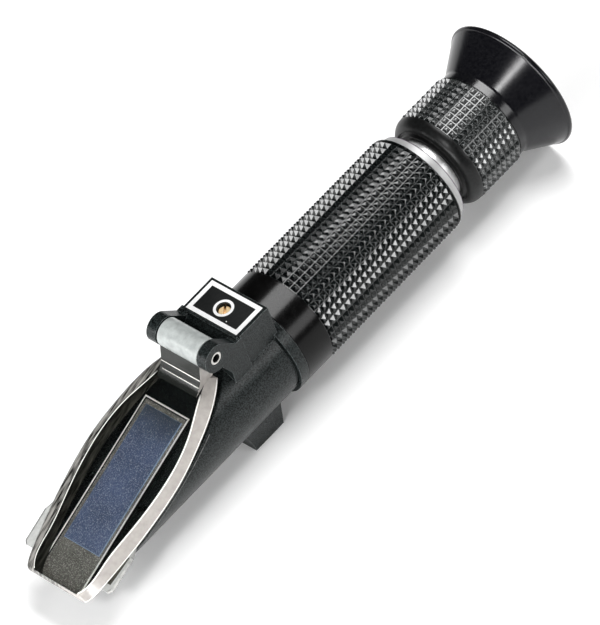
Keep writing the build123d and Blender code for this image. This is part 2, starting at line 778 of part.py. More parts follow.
# focus ring that turns on the eyepiece tube and carries the eyecup
focus_front = 59.2
knurl_front = 62.4
knurl_end = 76.4
knurl_r = 13.1
sleeve_bore = 11.9
shoulder_r = 12.9
shoulder = [(61.5, 12.75), (60.6, 12.3), (60.0, 11.8), (59.6, 11.2), (59.45, 10.7)]
lip = [(59.85, 10.35), (59.75, 10.1), (59.2, 9.55)]
boss_r = 10.6
boss_bore = 9.0
thread_end = 72.4
collar_bore = 9.4
boss_end = 79.6
thread_r = eyepiece_r + 0.05
with BuildPart() as focus_ring:
    with BuildSketch(side):
        with BuildLine():
            Polyline((focus_front, thread_r), (thread_end, thread_r), (thread_end, collar_bore),
                     (lip_front, collar_bore),
                     (lip_front, ocular_r + running), (lip_rear, ocular_r + running), (lip_rear, boss_bore),
                     (boss_end, boss_bore), (boss_end, boss_r), (knurl_end, boss_r), (knurl_end, sleeve_bore),
                     (knurl_front, sleeve_bore), (knurl_front, shoulder_r))
            Spline((knurl_front, shoulder_r), *shoulder)
            Polyline(shoulder[-1], *lip, (focus_front, thread_r))
        make_face()
    revolve(axis=optical_axis)
save(focus_ring, "focus_ring")

with BuildPart() as focus_sleeve:
    ring(knurl_front + snug, knurl_end, knurl_r, sleeve_bore + snug)
    sleeve_rims = focus_sleeve.edges().filter_by(GeomType.CIRCLE).filter_by(
        lambda e: abs(e.radius - knurl_r) < 0.01)
    fillet(sleeve_rims, 0.3)
save(focus_sleeve, "focus_sleeve")

# flared eyecup: a straight neck, a straight cone and a rounded rim
neck_r = 12.55
neck_end = 78.7
cone_end = 87.3
cone_end_r = 17.6
rim_inner_r = 16.55
floor_station = 80.6
floor_r = 9.3
cup_root_r = 11.9
with BuildPart() as eyecup:
    with BuildSketch(side):
        with BuildLine():
            Polyline((knurl_end + snug, neck_r), (knurl_end + snug, boss_r + snug), (boss_end, boss_r + snug),
                     (boss_end + 0.3, 9.2), (floor_station, floor_r), (floor_station + 0.3, cup_root_r),
                     (eyecup_end - 0.7, rim_inner_r))
            ThreePointArc((eyecup_end - 0.7, rim_inner_r), (eyecup_end, 17.1), (eyecup_end - 0.2, 17.55))
            ThreePointArc((eyecup_end - 0.2, 17.55), (eyecup_end - 0.8, eyecup_r), (cone_end, cone_end_r))
            Polyline((cone_end, cone_end_r), (neck_end, neck_r), (knurl_end + snug, neck_r))
        make_face()
    revolve(axis=optical_axis)
    neck_edge = eyecup.edges().filter_by(GeomType.CIRCLE).filter_by(
        lambda e: abs(e.radius - neck_r) < 0.01 and abs(e.center().X - joint_x - neck_end) < 0.01)
    fillet(neck_edge, 1.2)
save(eyecup, "eyecup")
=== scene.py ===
import math

import bmesh
import bpy
from mathutils import Matrix, Vector


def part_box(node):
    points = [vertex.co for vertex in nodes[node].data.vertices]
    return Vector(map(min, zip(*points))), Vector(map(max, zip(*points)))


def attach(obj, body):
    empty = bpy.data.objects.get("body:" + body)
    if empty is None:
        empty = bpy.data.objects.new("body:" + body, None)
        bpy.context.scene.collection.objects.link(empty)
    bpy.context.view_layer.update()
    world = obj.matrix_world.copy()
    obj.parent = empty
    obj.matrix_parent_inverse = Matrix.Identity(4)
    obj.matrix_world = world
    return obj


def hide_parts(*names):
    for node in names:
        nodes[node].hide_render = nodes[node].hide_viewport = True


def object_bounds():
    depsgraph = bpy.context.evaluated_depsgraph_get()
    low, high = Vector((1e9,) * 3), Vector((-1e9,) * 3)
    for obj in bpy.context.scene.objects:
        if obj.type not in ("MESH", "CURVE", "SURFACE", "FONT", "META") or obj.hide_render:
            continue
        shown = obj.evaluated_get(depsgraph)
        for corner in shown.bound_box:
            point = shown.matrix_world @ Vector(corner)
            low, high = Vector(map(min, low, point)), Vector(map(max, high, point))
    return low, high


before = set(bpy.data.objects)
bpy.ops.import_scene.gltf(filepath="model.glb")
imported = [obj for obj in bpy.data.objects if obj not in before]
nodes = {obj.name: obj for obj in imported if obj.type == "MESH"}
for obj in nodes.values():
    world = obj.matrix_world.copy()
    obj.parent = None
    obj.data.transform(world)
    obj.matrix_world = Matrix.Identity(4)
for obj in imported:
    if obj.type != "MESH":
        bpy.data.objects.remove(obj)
cad_low, cad_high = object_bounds()

MM = 0.001

# Stations run along the optical axis (+X) from the joint between housing and tube, in millimetres.
tube_spigot = 3.9
tube_low, tube_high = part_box("body_tube")
joint_x = tube_low[0] + tube_spigot * MM
axis_z = (tube_low[2] + tube_high[2]) / 2

# Plate positions are (along, y, height): along runs forward and down the slanted plate.
datum_station = -30.66
datum_height = 9.0
hinge_station = -19.36
hinge_height = 20.02
seat_angle = math.radians(20.48)
plate_datum = Vector((joint_x + datum_station * MM, 0, axis_z + datum_height * MM))
plate_along = Vector((-math.cos(seat_angle), 0, -math.sin(seat_angle)))
plate_up = Vector((-math.sin(seat_angle), 0, math.cos(seat_angle)))
hinge = Vector((joint_x + hinge_station * MM, 0, axis_z + hinge_height * MM))

barrel_r = 3.6
hinge_bore_r = 1.05
plate_top = 0.6
rim_top = -0.5
tab_start = 30.9
tab_end = 43.0


def on_axis(station, radius, angle):
    """Point at a station (mm), a radius (mm) and an angle (radians, from +Z towards -Y)."""
    sideways = -radius * MM * math.sin(angle)
    upwards = radius * MM * math.cos(angle)
    return Vector((joint_x + station * MM, sideways, axis_z + upwards))


def on_plate(along, y, height):
    """Point over or under the plate datum, in millimetres."""
    return plate_datum + plate_along * along * MM + plate_up * height * MM + Vector((0, y * MM, 0))


def plate_position(place):
    """How far along the plate and how high over it a point is, in millimetres."""
    offset = place - plate_datum
    return offset.dot(plate_along) / MM, offset.dot(plate_up) / MM


# ---------------------------------------------------------------- materials
INPUTS = {"color": "Base Color", "rough": "Roughness", "metal": "Metallic", "coat": "Coat Weight",
          "coat_rough": "Coat Roughness", "transmission": "Transmission Weight", "ior": "IOR",
          "specular": "Specular IOR Level"}


def new_material(name, **values):
    """Material with a Principled shader; returns the material, its node tree and the shader."""
    material = bpy.data.materials.new(name)
    material.use_nodes = True
    shader = material.node_tree.nodes["Principled BSDF"]
    for key, value in values.items():
        if key == "color":
            value = (*value, 1.0)
        shader.inputs[INPUTS[key]].default_value = value
    return material, material.node_tree, shader


def noise(tree, scale, detail=4.0, rough=0.5, stretch=(1, 1, 1)):
    """Noise texture in object space; scale is in features per metre."""
    coords = tree.nodes.new("ShaderNodeTexCoord")
    mapping = tree.nodes.new("ShaderNodeMapping")
    mapping.inputs["Scale"].default_value = stretch
    texture = tree.nodes.new("ShaderNodeTexNoise")
    texture.inputs["Scale"].default_value = scale
    texture.inputs["Detail"].default_value = detail
    texture.inputs["Roughness"].default_value = rough
    tree.links.new(coords.outputs["Object"], mapping.inputs["Vector"])
    tree.links.new(mapping.outputs["Vector"], texture.inputs["Vector"])
    return texture.outputs["Fac"]


def ramp(tree, factor, stops):
    """Colour ramp; stops are (position, (r, g, b)) or (position, grey)."""
    node = tree.nodes.new("ShaderNodeValToRGB")
    elements = node.color_ramp.elements
    while len(elements) < len(stops):
        elements.new(0.5)
    for element, (position, color) in zip(elements, stops):
        element.position = position
        if isinstance(color, (int, float)):
            color = (color, color, color)
        element.color = (*color, 1.0)
    tree.links.new(factor, node.inputs["Fac"])
    return node.outputs["Color"]


def mix(tree, factor, first, second):
    """Mix of a colour output with another output or with a fixed colour."""
    node = tree.nodes.new("ShaderNodeMix")
    node.data_type = "RGBA"
    tree.links.new(factor, node.inputs["Factor"])
    tree.links.new(first, node.inputs["A"])
    if isinstance(second, tuple):
        node.inputs["B"].default_value = (*second, 1.0)
    else:
        tree.links.new(second, node.inputs["B"])
    return node.outputs["Result"]


def rounded_normal(tree, radius):
    """Normal that rounds off every edge by a radius in millimetres."""
    node = tree.nodes.new("ShaderNodeBevel")
    node.samples = 6
    node.inputs["Radius"].default_value = radius * MM
    return node.outputs["Normal"]


def edge_wear_and_highlight_mask(tree, rounded, grain):
    """White on edges, partly wear and partly a painted highlight: where the rounded normal leaves the face's
    own, broken up by a grain.
    """
    geometry = tree.nodes.new("ShaderNodeNewGeometry")
    dot = tree.nodes.new("ShaderNodeVectorMath")
    dot.operation = "DOT_PRODUCT"
    tree.links.new(rounded, dot.inputs[0])
    tree.links.new(geometry.outputs["Normal"], dot.inputs[1])
    wear_and_highlight = ramp(tree, dot.outputs["Value"], [(0.88, 1.0), (0.99, 0.0)])
    broken = ramp(tree, grain, [(0.38, 0.25), (0.6, 1.0)])
    product = tree.nodes.new("ShaderNodeMix")
    product.data_type = "RGBA"
    product.blend_type = "MULTIPLY"
    product.inputs["Factor"].default_value = 1.0
    tree.links.new(wear_and_highlight, product.inputs["A"])
    tree.links.new(broken, product.inputs["B"])
    return product.outputs["Result"]


def bump(tree, shader, height, strength, distance, rounded=None):
    """Relief of a height output, up to a distance in millimetres, over the rounded normal if there is one."""
    node = tree.nodes.new("ShaderNodeBump")
    node.inputs["Strength"].default_value = strength
    node.inputs["Distance"].default_value = distance * MM
    tree.links.new(height, node.inputs["Height"])
    if rounded is not None:
        tree.links.new(rounded, node.inputs["Normal"])
    tree.links.new(node.outputs["Normal"], shader.inputs["Normal"])


def plain(name, dark, light, smooth, rough, scale=900.0, relief=0.1, depth=0.04, stretch=(1, 1, 1), edge=None,
          edge_radius=0.12, sharpness=0.15, **values):
    """Finish whose colour and roughness vary with a fine noise, with a matching relief and lighter edges,
    partly wear and partly painted highlight.
    """
    material, tree, shader = new_material(name, **values)
    grain = noise(tree, scale, stretch=stretch)
    color = ramp(tree, grain, [(0.5 - sharpness, dark), (0.5 + sharpness, light)])
    rounded = rounded_normal(tree, edge_radius)
    # The edge colour is partly wear and partly a painted highlight along the rounded edges.
    if edge:
        color = mix(tree, edge_wear_and_highlight_mask(tree, rounded, grain), color, edge)
    tree.links.new(color, shader.inputs["Base Color"])
    broad = noise(tree, scale / 18, detail=2.0)
    tree.links.new(ramp(tree, broad, [(0.3, smooth), (0.7, rough)]), shader.inputs["Roughness"])
    bump(tree, shader, grain, relief, depth, rounded)
    return material


def grey(value):
    """Neutral colour."""
    return (value, value, value)


housing_black = plain("housing_satin_black", (0.002, 0.003, 0.003), (0.033, 0.04, 0.04), 0.26, 0.34,
                      scale=3200.0, relief=0.6, depth=0.05, edge=(0.25, 0.28, 0.28), specular=0.3,
                      edge_radius=0.18, sharpness=0.07)
label_black = plain("label_film_black", (0.006, 0.007, 0.007), (0.011, 0.012, 0.012), 0.3, 0.36,
                    scale=2000.0, relief=0.05)
label_white = plain("label_ink_white", grey(0.84), grey(0.93), 0.4, 0.5, scale=1600.0, relief=0.05)
brass = plain("screw_brass", (0.95, 0.62, 0.3), (1.0, 0.8, 0.5), 0.3, 0.4, scale=1500.0, relief=0.2,
              metal=0.35, edge=(1.0, 0.9, 0.7))
steel = plain("hinge_tube_steel", (0.5, 0.49, 0.47), (0.68, 0.67, 0.64), 0.3, 0.4, scale=1800.0, metal=0.6)
dark_steel = plain("inner_steel", grey(0.42), grey(0.6), 0.3, 0.4, metal=1.0)
inner_black = plain("inner_matt_black", grey(0.006), grey(0.014), 0.6, 0.7)
sealant = plain("sealant_black", grey(0.005), grey(0.014), 0.5, 0.6, scale=1300.0, relief=0.3)
gloss_black = plain("tube_gloss_black", grey(0.004), grey(0.008), 0.2, 0.26, scale=700.0, relief=0.02,
                    coat=0.16, coat_rough=0.16, edge=grey(0.05), specular=0.16)
grip_rubber = plain("grip_moulded_black", (0.004, 0.005, 0.005), (0.008, 0.011, 0.011), 0.15, 0.22,
                    scale=3000.0, relief=0.15, edge=(0.12, 0.135, 0.135), edge_radius=0.08, specular=0.72)
knurl_rubber = plain("focus_moulded_black", (0.006, 0.008, 0.008), (0.028, 0.032, 0.032), 0.2, 0.28,
                     scale=3000.0, relief=0.15, edge=(0.17, 0.19, 0.19), edge_radius=0.1, specular=1.0)
ring_black = plain("focus_ring_black", grey(0.006), (0.013, 0.014, 0.014), 0.3, 0.38, scale=1400.0,
                   relief=0.06, edge=grey(0.08), specular=0.36)
cup_black = plain("eyecup_rubber_black", (0.005, 0.005, 0.007), (0.012, 0.012, 0.014), 0.16, 0.24,
                  scale=1500.0, relief=0.08, edge=grey(0.08), specular=0.5)
silver = plain("ring_turned_aluminium", grey(0.47), grey(0.56), 0.4, 0.5, relief=0.15, stretch=(30, 1, 1),
               metal=0.2, edge=grey(0.85))
chrome = plain("tube_polished_chrome", grey(0.72), grey(0.86), 0.33, 0.42, relief=0.05, stretch=(30, 1, 1),
               metal=0.3)
inner_brass = plain("lever_brass", (0.6, 0.44, 0.22), (0.72, 0.55, 0.3), 0.3, 0.4, metal=1.0)


def glass(name, color, rough, ior, transmission=1.0, edge_radius=0.1, scale=700.0, cloud=0.97, relief=0.03):
    """Clear or cloudy plastic or glass; cloud is how much darker the darker patches are."""
    material, tree, shader = new_material(name, transmission=transmission, ior=ior)
    haze = noise(tree, scale, detail=5.0, rough=0.6)
    low = tuple(c * cloud for c in color)
    tree.links.new(ramp(tree, haze, [(0.35, low), (0.65, color)]), shader.inputs["Base Color"])
    tree.links.new(ramp(tree, haze, [(0.3, rough), (0.7, rough + 0.04)]), shader.inputs["Roughness"])
    bump(tree, shader, haze, relief, 0.05, rounded_normal(tree, edge_radius))
    return material


clear_plate = glass("plate_clear_plastic", (0.96, 0.975, 0.97), 0.02, 1.49)
cloudy_barrel = glass("plate_barrel_cloudy", (0.55, 0.58, 0.57), 0.16, 1.49, transmission=0.2, cloud=0.78,
                      relief=0.2, edge_radius=0.25, scale=600.0)
# Painted light: a pale colour for the near rim, for the light seen through the clear plastic there.
near_rim_painted_light = glass("plate_rim_painted_light", (0.62, 0.585, 0.555), 0.16, 1.49, transmission=0.3, cloud=0.86,
                    relief=0.2, edge_radius=0.25)
# Painted light: a grey colour for the light seen through the clear thumb tabs.
tab_painted_light = glass("plate_tab_painted_light", (0.46, 0.465, 0.45), 0.2, 1.49, transmission=0.3, cloud=0.85,
                    relief=0.2, edge_radius=0.2)
clear_glass = glass("lens_coated_glass", (0.95, 0.97, 0.98), 0.0, 1.52)
# Painted highlight: a light colour for thin lines along lit edges and creases of the clear plate.
highlight_white = plain("plate_edge_painted_highlight", (0.86, 0.84, 0.8), (0.97, 0.96, 0.93), 0.3, 0.4, scale=1400.0)


FLECK_EDGE = 0.12


def speckled(name, base, fleck, scale, share, rough, fade=False):
    """Ground glass look: flecks of one colour over another, which start at a share of the noise's range.

    fade darkens the rear end."""
    material, tree, shader = new_material(name, rough=rough, specular=0.4)
    fine = noise(tree, scale, detail=3.0, rough=0.7)
    broad = noise(tree, 150.0, detail=4.0)
    under = ramp(tree, broad, [(0.3, tuple(c * 0.65 for c in base)), (0.7, base)])
    flecks = ramp(tree, fine, [(share, 0.0), (share + FLECK_EDGE, 1.0)])
    color = mix(tree, flecks, under, fleck)
    if fade:
        coords = tree.nodes.new("ShaderNodeTexCoord")
        parts = tree.nodes.new("ShaderNodeSeparateXYZ")
        tree.links.new(coords.outputs["Generated"], parts.inputs["Vector"])
        rear = ramp(tree, parts.outputs["X"], [(0.72, 0.0), (1.0, 0.85)])
        color = mix(tree, rear, color, (0.05, 0.06, 0.06))
    tree.links.new(color, shader.inputs["Base Color"])
    bump(tree, shader, fine, 0.3, 0.04)
    return material


prism_blue = speckled("prism_blue_ground", (0.14, 0.18, 0.31), (0.48, 0.52, 0.6), scale=3600.0,
                      share=0.53, rough=0.4, fade=True)
pad_grey = speckled("pad_frosted_grey", (0.2, 0.19, 0.17), (0.52, 0.5, 0.46), scale=3800.0,
                    share=0.51, rough=0.5)
# Painted shade: a dark tint on the plate's web faces, and a dark colour with faint lighter streaks for sheets
# under the clear plate.
web_shade = glass("plate_web_shaded", (0.03, 0.033, 0.03), 0.14, 1.49, transmission=0.3)
painted_shade = plain("plate_painted_shade_dark", (0.018, 0.018, 0.015), (0.075, 0.072, 0.062), 0.2, 0.3, scale=1500.0,
              stretch=(0.12, 1, 0.3))
line_dark = plain("end_ring_line_dark", (0.05, 0.03, 0.06), (0.1, 0.06, 0.12), 0.4, 0.5)
# Painted highlight: a light grey for thin lines along lit edges.
highlight_grey = plain("edge_painted_highlight_grey", grey(0.14), grey(0.3), 0.4, 0.5, scale=1400.0)
# Painted highlight: a light grey for the line along the near thumb tab's edge.
tab_edge_highlight = plain("plate_tab_edge_painted_highlight", (0.4, 0.4, 0.385), (0.54, 0.54, 0.52), 0.3, 0.4, scale=1400.0)
# Painted glint: a light blue for the strip along the prism's edge.
prism_glint = plain("prism_edge_painted_glint", (0.24, 0.34, 0.5), (0.42, 0.52, 0.66), 0.3, 0.4, scale=1800.0)
# Painted shade with streaks of painted highlight for the far rim of the clear plate.
far_rim_painted_shade = plain("plate_rim_painted_shade_streaked", (0.012, 0.012, 0.011), (0.34, 0.33, 0.31), 0.16, 0.24,
                     scale=1500.0, relief=0.2, stretch=(0.12, 1, 0.3), edge=(0.5, 0.49, 0.46),
                     edge_radius=0.2, sharpness=0.14, specular=0.8)

node_materials = {
    "prism_housing": housing_black, "calibration_label": label_black, "hinge_pin": steel,
    "main_prism": prism_blue, "prism_gasket": sealant, "body_tube": gloss_black, "tube_seal": sealant,
    "end_ring": silver, "eyepiece_tube": chrome, "key_pin": dark_steel, "focus_seal": sealant,
    "reticle_holder": inner_black, "reticle": clear_glass, "reticle_ring": inner_black,
    "light_baffle": inner_black, "lever_pivot_pin": dark_steel, "return_spring": dark_steel,
    "daylight_plate": clear_plate, "calibration_screw": brass, "screw_clip": dark_steel,
    "objective_lever": inner_brass, "bimetal_strip": dark_steel, "strip_screws": dark_steel,
    "objective_cell": inner_black, "objective_lens": clear_glass, "ocular_barrel": inner_black,
    "field_lens": clear_glass, "lens_spacer": inner_black, "eye_lens": clear_glass,
    "lens_retaining_ring": inner_black, "snap_ring": dark_steel, "focus_ring": ring_black,
    "eyecup": cup_black,
}
for name, material in node_materials.items():
    mesh = nodes[name].data
    mesh.materials.clear()
    mesh.materials.append(material)

# ---------------------------------------------------------------- finishes of the plate's faces, with painted light and shade on its rim
plate = nodes["daylight_plate"]
for material in (cloudy_barrel, near_rim_painted_light, tab_painted_light, far_rim_painted_shade, web_shade):
    plate.data.materials.append(material)
CLEAR, BARREL, NEAR_RIM, TAB, FAR_RIM, WEB = range(6)
# Limits for the slope of a face, and the room in millimetres round a level.
FLAT = 0.95
UPRIGHT = 0.05
FACING = 0.9
level_room = 0.05
tab_root = 9.0
bevel_low = -1.0
bevel_high = plate_top - 0.01
for polygon in plate.data.polygons:
    place = plate.matrix_world @ polygon.center
    normal = (plate.matrix_world.to_3x3() @ polygon.normal).normalized()
    along, height = plate_position(place)
    tilt = normal.dot(plate_up)
    level_or_upright = tilt > FLAT or abs(tilt) < UPRIGHT
    beside_tab = tab_start < along < tab_end and abs(place.y) > tab_root * MM
    polygon.material_index = CLEAR
    if (place - hinge).xz.length < barrel_r * MM:
        polygon.material_index = BARREL
    elif height > plate_top + level_room:
        polygon.material_index = NEAR_RIM if normal.y < -FACING else WEB
    elif beside_tab and height < rim_top + level_room and level_or_upright:
        polygon.material_index = TAB
    # The near rim gets painted light, the far rim painted shade with streaks of painted highlight.
    elif bevel_low < height < bevel_high and abs(tilt) < FLAT:
        polygon.material_index = NEAR_RIM if place.y < 0 else FAR_RIM

# Painted shade: the faces inside the hinge tube's bore get the matt black finish.
pin = nodes["hinge_pin"]
pin.data.materials.append(inner_black)
for polygon in pin.data.polygons:
    place = pin.matrix_world @ polygon.center
    if (place - hinge).xz.length < hinge_bore_r * MM:
        polygon.material_index = 1


# ---------------------------------------------------------------- mesh helpers
def make_object(name, vertices, faces, material, smooth_faces=()):
    """Mesh object whose faces all point outwards."""
    mesh = bpy.data.meshes.new(name)
    mesh.from_pydata([tuple(v) for v in vertices], [], faces)
    mesh.materials.append(material)
    for index in smooth_faces:
        mesh.polygons[index].use_smooth = True
    work = bmesh.new()
    work.from_mesh(mesh)
    bmesh.ops.recalc_face_normals(work, faces=work.faces)
    work.to_mesh(mesh)
    work.free()
    obj = bpy.data.objects.new(name, mesh)
    bpy.context.scene.collection.objects.link(obj)
    return obj


def quads(near, far, count):
    """Faces between two closed rows of points, given the index of each row's first point."""
    return [(near + k, near + (k + 1) % count, far + (k + 1) % count, far + k) for k in range(count)]


def band(name, loops, material, body):
    """Closed band through equal loops of points: each joins the next, and the last joins the first."""
    count = len(loops[0])
    vertices = [point for loop in loops for point in loop]
    faces = []
    for index in range(len(loops)):
        faces += quads(index * count, (index + 1) % len(loops) * count, count)
    obj = make_object(name, vertices, faces, material)
    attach(obj, body)


def sweep(name, sections, material, body):
    """Solid through a row of equal closed sections, capped at both ends."""
    count = len(sections[0])
    vertices = [point for section in sections for point in section]
    faces = []
    for index in range(len(sections) - 1):
        faces += quads(index * count, (index + 1) * count, count)
    smooth = range(len(faces)) if count > 4 else ()
    last = (len(sections) - 1) * count
    faces.append(tuple(range(count)))
    faces.append(tuple(range(last, last + count)))
    obj = make_object(name, vertices, faces, material, smooth)
    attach(obj, body)


def rod(name, path, radius, material, body, sides=8):
    """Round rod along a path of points."""
    sections = []
    for index, point in enumerate(path):
        tangent = (path[min(index + 1, len(path) - 1)] - path[max(index - 1, 0)]).normalized()
        sideways = tangent.cross(plate_up).normalized()
        upwards = sideways.cross(tangent)
        angles = [2 * math.pi * k / sides for k in range(sides)]
        around = [sideways * math.cos(angle) + upwards * math.sin(angle) for angle in angles]
        sections.append([point + direction * radius * MM for direction in around])
    sweep(name, sections, material, body)


def studded_sleeve(name, start, end, floor_r, tip_r, columns, rows, groove, tip, phase, front_rim, rear_rim,
                   material, replaced, body):
    """Sleeve with a grid of pyramids standing on a grooved floor.

    groove and tip are the shares of a cell taken by the flat groove and by the flat top. phase is the
    angle of one groove. front_rim and rear_rim are (station, radius) outlines down to the bore."""
    pitch = (end - start) / rows
    step = 2 * math.pi / columns
    stations = [start]
    for row in range(rows):
        stations += [start + (row + groove / 2) * pitch, start + (row + 1 - groove / 2) * pitch]
    stations.append(end)
    angles = []
    for column in range(columns):
        angles += [phase + (column + groove / 2) * step, phase + (column + 1 - groove / 2) * step]
    across = len(angles)
    vertices = [on_axis(station, floor_r, angle) for station in stations for angle in angles]
    faces = []
    for i in range(len(stations) - 1):
        for j in range(across):
            k = (j + 1) % across
            base = (i * across + j, (i + 1) * across + j, (i + 1) * across + k, i * across + k)
            if i % 2 == 0 or j % 2 == 1:
                faces.append(base)
                continue
            station = start + (i // 2 + 0.5) * pitch
            angle = phase + (j // 2 + 0.5) * step
            half_length = tip * pitch / 2
            half_turn = tip * step / 2
            first = len(vertices)
            for forward, around in ((-1, -1), (1, -1), (1, 1), (-1, 1)):
                vertices.append(on_axis(station + forward * half_length, tip_r, angle + around * half_turn))
            for side in range(4):
                other = (side + 1) % 4
                faces.append((base[side], base[other], first + other, first + side))
            faces.append((first, first + 1, first + 2, first + 3))

    studded_faces = len(faces)

    def lathe(outline, row):
        """Continues the sleeve from a row of points along an outline; returns the last row it makes."""
        for station, radius in outline:
            next_row = len(vertices)
            vertices.extend(on_axis(station, radius, angle) for angle in angles)
            faces.extend(quads(row, next_row, across))
            row = next_row
        return row

    front = lathe(front_rim, 0)
    rear = lathe(rear_rim, (len(stations) - 1) * across)
    faces += quads(front, rear, across)
    smooth = range(studded_faces, len(faces))
    obj = make_object(name, vertices, faces, material, smooth)
    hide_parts(replaced)
    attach(obj, body)


# ---------------------------------------------------------------- studded grip and focus sleeve
grip_front = 8.28
grip_rear = 53.84
grip_bore_r = 12.23
studded_sleeve("grip_studs", start=8.6, end=53.45, floor_r=12.8, tip_r=13.68, columns=41, rows=25,
               groove=0.07, tip=0.12, phase=math.radians(1.32),
               front_rim=[(8.45, 12.85), (8.35, 12.8), (grip_front, 12.6), (grip_front, grip_bore_r)],
               rear_rim=[(53.5, 13.3), (53.6, 13.5), (53.75, 13.45), (grip_rear, 13.2),
                         (grip_rear, grip_bore_r)],
               material=grip_rubber, replaced="grip_sleeve", body="instrument")

knurl_front = 62.44
knurl_rear = 76.39
knurl_bore_r = 11.93
studded_sleeve("focus_studs", start=62.75, end=76.25, floor_r=12.3, tip_r=13.08, columns=44, rows=8,
               groove=0.16, tip=0.2, phase=math.radians(8.05),
               front_rim=[(62.6, 12.6), (62.5, 12.8), (knurl_front, 12.6), (knurl_front, knurl_bore_r)],
               rear_rim=[(76.3, 12.5), (76.38, 12.3), (knurl_rear, knurl_bore_r)],
               material=knurl_rubber, replaced="focus_sleeve", body="focus")


def plate_rectangle(start, end, near, far, height):
    """Corners of a rectangle in the plane of the plate."""
    return [on_plate(start, near, height), on_plate(end, near, height), on_plate(end, far, height),
            on_plate(start, far, height)]


def plate_frame(name, outer, inner, high, low, material):
    """Flat frame under the plate between two (start, end, near, far) rectangles."""
    band(name, [plate_rectangle(*outer, high), plate_rectangle(*outer, low),
                plate_rectangle(*inner, low), plate_rectangle(*inner, high)], material, "plate")


def plate_line(name, path, radius, material):
    """Thin rod that rides the plate."""
    rod(name, path, radius, material, "plate")


pad_start = 0.3
pad_end = 47.0
pad_half = 6.53
bead = 0.4
bead_section = ((0.02, -1.22), (bead, -1.22), (bead, -1.4), (bead / 2, -1.52), (0.02, -1.52))
# Painted highlight: a white bead round the edges of the contact pad.
band("pad_edge_highlights",
     [plate_rectangle(pad_start - grow, pad_end + grow, -pad_half - grow, pad_half + grow, height)
      for grow, height in bead_section],
     highlight_white, "plate")
# Frosted field of the contact pad round the prism, and a painted glint along the prism's edge inside it.
frost_outer = (0.6, pad_end - 0.2, 0.15 - pad_half, pad_half - 0.15)
frost_inner = (1.6, 37.0, -5.75, 5.6)
frost_high = -1.57
frost_low = -1.61
plate_frame("pad_frost", frost_outer, frost_inner, frost_high, frost_low, pad_grey)

glint_outer = (1.65, 36.95, -5.72, 5.55)
glint_inner = (1.7, 36.8, -5.4, 5.5)
glint_high = -1.58
glint_low = -1.62
plate_frame("prism_edge_glint", glint_outer, glint_inner, glint_high, glint_low, prism_glint)

line_room = 0.25 * MM
line_front = cad_low[0] + line_room
# Beside a thumb tab the rim stays inside this half width, which narrows towards the front.
tab_limit = 13.0
tab_limit_start = 31.0
tab_taper = 0.1
rim_limit = 15.0
rim_least = 6.6
level_slack = 0.01
corner_spacing = 0.3 * MM


def outline_points(level, side, on_tab=False):
    """The plate's own corners at one level and side, in order along it: the rim's, or the thumb tab's."""
    found = []
    for vertex in plate.data.vertices:
        place = plate.matrix_world @ vertex.co
        along, height = plate_position(place)
        beside_tab = tab_start < along < tab_end
        limit = tab_limit - tab_taper * (along - tab_limit_start) if beside_tab else rim_limit
        half_width = place.y * side / MM
        wanted = beside_tab and half_width >= limit if on_tab else rim_least < half_width < limit
        if abs(height - level) < level_slack and wanted:
            place.x = max(place.x, line_front)
            found.append((round(along, 3), place))
    found.sort(key=lambda entry: entry[0])
    path = []
    for along, place in found:
        if not path or (place - path[-1]).length > corner_spacing:
            path.append(place)
    return path


near_rim = outline_points(rim_top, -1)
far_rim = outline_points(rim_top, 1)
# Painted highlights: thin light rods along the edges of the rim and of the thumb tabs.
plate_line("rim_highlight_near_top", outline_points(plate_top, -1), 0.2, highlight_white)
plate_line("rim_highlight_far_top", outline_points(plate_top, 1), 0.11, highlight_white)
plate_line("rim_highlight_near_side", near_rim, 0.12, highlight_white)
plate_line("rim_highlight_far_side", far_rim, 0.1, highlight_grey)
plate_line("tab_highlight_near", outline_points(rim_top, -1, on_tab=True), 0.35, tab_edge_highlight)
plate_line("tab_highlight_far", outline_points(rim_top, 1, on_tab=True), 0.1, highlight_grey)

# Painted shade: a thin dark sheet under the far side of the plate, and a dark strip in the slit between near
# rim and tab.
shade_inset = 0.45
shade_width = 4.2
shade_thickness = 0.05
shade_outer_height = -1.02
shade_inner_height = -1.12
far_sections = []
for place in far_rim:
    along = plate_position(place)[0]
    outer = place.y / MM - shade_inset
    inner = outer - shade_width
    far_sections.append([on_plate(along, outer, shade_outer_height),
                         on_plate(along, inner, shade_inner_height),
                         on_plate(along, inner, shade_inner_height - shade_thickness),
                         on_plate(along, outer, shade_outer_height - shade_thickness)])
sweep("far_shade", far_sections, painted_shade, "plate")

slit_start = 33.0
slit_end = 42.0
slit_inset = 0.2
slit_width = 0.2
slit_taper = 0.1
slit_top = rim_top + 0.04
slit_sections = []
for place in near_rim:
    along = plate_position(place)[0]
    if slit_start < along < slit_end:
        inner = place.y / MM - slit_inset
        outer = inner - slit_width - slit_taper * (along - slit_start)
        slit_sections.append([on_plate(along, inner, rim_top), on_plate(along, inner, slit_top),
                              on_plate(along, outer, slit_top), on_plate(along, outer, rim_top)])
sweep("tab_slit_shade", slit_sections, painted_shade, "plate")


def over_axis(station, y, height):
    """Point at a station, a side distance and a height over the optical axis, in millimetres."""
    return Vector((joint_x + station * MM, y * MM, axis_z + height * MM))


# Painted highlight: a light line where the slanted seat cuts the round housing.
housing_r = 12.65
seat_drop = 3.0
line_drop = seat_drop / math.cos(seat_angle) + 0.9
line_start = -1.0
line_step = 1.15
line_points = 40
seat_line = []
for step in range(line_points):
    along = line_start + step * line_step
    station = datum_station - along * math.cos(seat_angle)
    height = datum_height - along * math.sin(seat_angle) - line_drop
    seat_line.append(over_axis(station, -math.sqrt(housing_r ** 2 - height ** 2), height))
rod("seat_edge_highlight", seat_line, 0.1, highlight_grey, "instrument")

